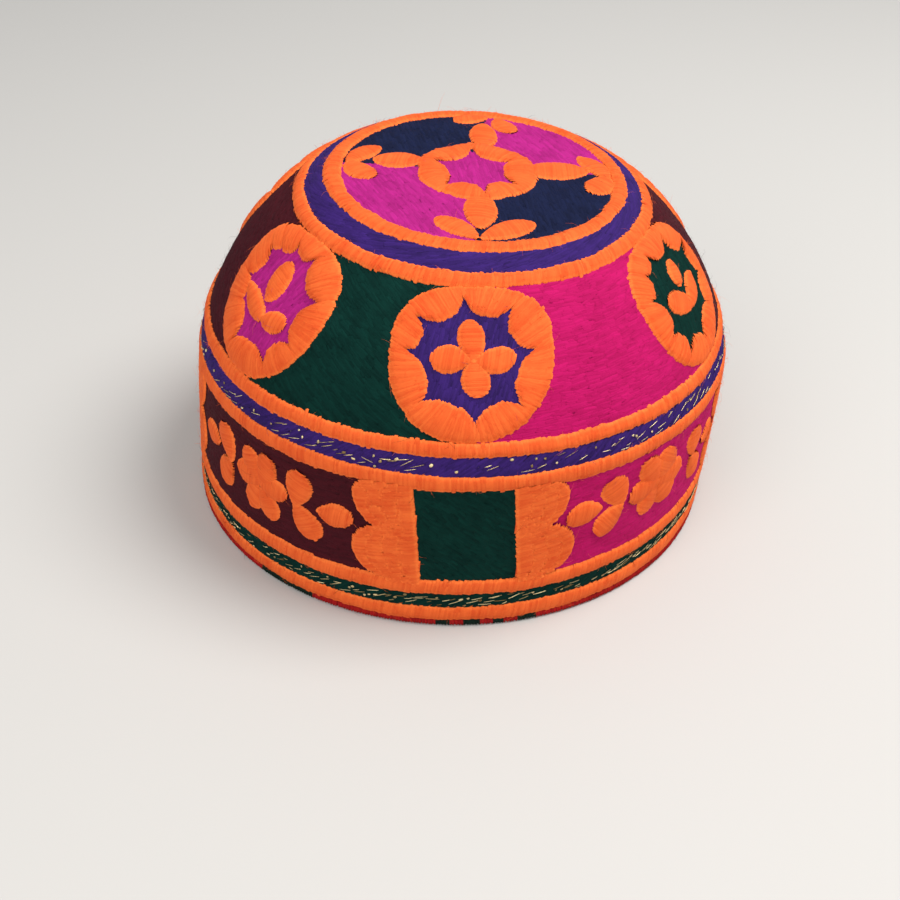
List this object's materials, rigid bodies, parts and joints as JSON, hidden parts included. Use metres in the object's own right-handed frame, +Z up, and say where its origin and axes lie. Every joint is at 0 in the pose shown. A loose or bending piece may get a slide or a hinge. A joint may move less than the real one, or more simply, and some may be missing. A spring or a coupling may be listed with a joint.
{
  "type": "traditional embroidered cap",
  "caption": "Round brimless cloth cap with an upright band, a domed crown and a flat top, covered with padded wool embroidery in ribs, medallions and flowers.",
  "frame": {"origin": "on the floor under the middle of the cap's bounding box, about 1 mm from the middle of its round rim", "axes": "+Z up through the crown, -Y towards the front of the cap as pictured, +X to the side it leans to"},
  "size_m": [0.1898, 0.188, 0.1167],
  "materials": {
    "orange_wool": "padded satin stitch in soft twisted wool, matte with a slight sheen",
    "green_wool": "close short stitches in dark green wool, matte",
    "green_gold_wool": "dark green wool stripe with flecks of gold metal thread",
    "purple_gold_wool": "purple wool stripe with flecks of gold metal thread",
    "purple_wool": "long purple wool stitches, slight sheen",
    "edging_wool": "whipped edge in red wool with dark green blocks, matte",
    "band_cloth": "wool stitched grounds, maroon and pink by turns",
    "crown_cloth": "wool stitched grounds, green, pink and maroon by turns",
    "top_cloth": "wool stitched quarters, magenta and navy by turns"
  },
  "bodies": {
    "root": {"rim_edging": "edging_wool", "side_band": "band_cloth", "crown_side": "crown_cloth", "crown_top": "top_cloth", "rim_rib": "orange_wool", "band_frame": "orange_wool", "crown_lower_rib": "orange_wool", "crown_upper_rib": "orange_wool", "top_ring_rib": "orange_wool", "top_rosette": "orange_wool", "medallion_1": "orange_wool", "medallion_2": "orange_wool", "medallion_3": "orange_wool", "medallion_4": "orange_wool", "medallion_5": "orange_wool", "medallion_6": "orange_wool", "medallion_flower_1": "orange_wool", "medallion_flower_2": "orange_wool", "medallion_leaf_1": "orange_wool", "medallion_leaf_2": "orange_wool", "medallion_leaf_3": "orange_wool", "medallion_leaf_4": "orange_wool", "medallion_petals_1": "orange_wool", "medallion_petals_2": "orange_wool", "medallion_petals_3": "orange_wool", "medallion_petals_4": "orange_wool", "band_flower_1": "orange_wool", "band_flower_2": "orange_wool", "band_flower_3": "orange_wool", "band_flower_4": "orange_wool", "band_leaf_pair_1": "orange_wool", "band_leaf_pair_2": "orange_wool", "band_leaf_pair_3": "orange_wool", "band_leaf_pair_4": "orange_wool", "band_leaf_pair_5": "orange_wool", "band_leaf_pair_6": "orange_wool", "band_leaf_pair_7": "orange_wool", "band_leaf_pair_8": "orange_wool", "band_bud_1": "orange_wool", "band_bud_2": "orange_wool", "band_bud_3": "orange_wool", "band_bud_4": "orange_wool", "band_bud_5": "orange_wool", "band_bud_6": "orange_wool", "band_bud_7": "orange_wool", "band_bud_8": "orange_wool", "top_leaf_pair_1": "orange_wool", "top_leaf_pair_2": "orange_wool", "top_leaf_pair_3": "orange_wool", "top_leaf_pair_4": "orange_wool", "band_square_1": "green_wool", "band_square_2": "green_wool", "band_square_3": "green_wool", "band_square_4": "green_wool", "green_gold_stripe": "green_gold_wool", "purple_gold_stripe": "purple_gold_wool", "purple_ring": "purple_wool"}
  },
  "joints": []
}
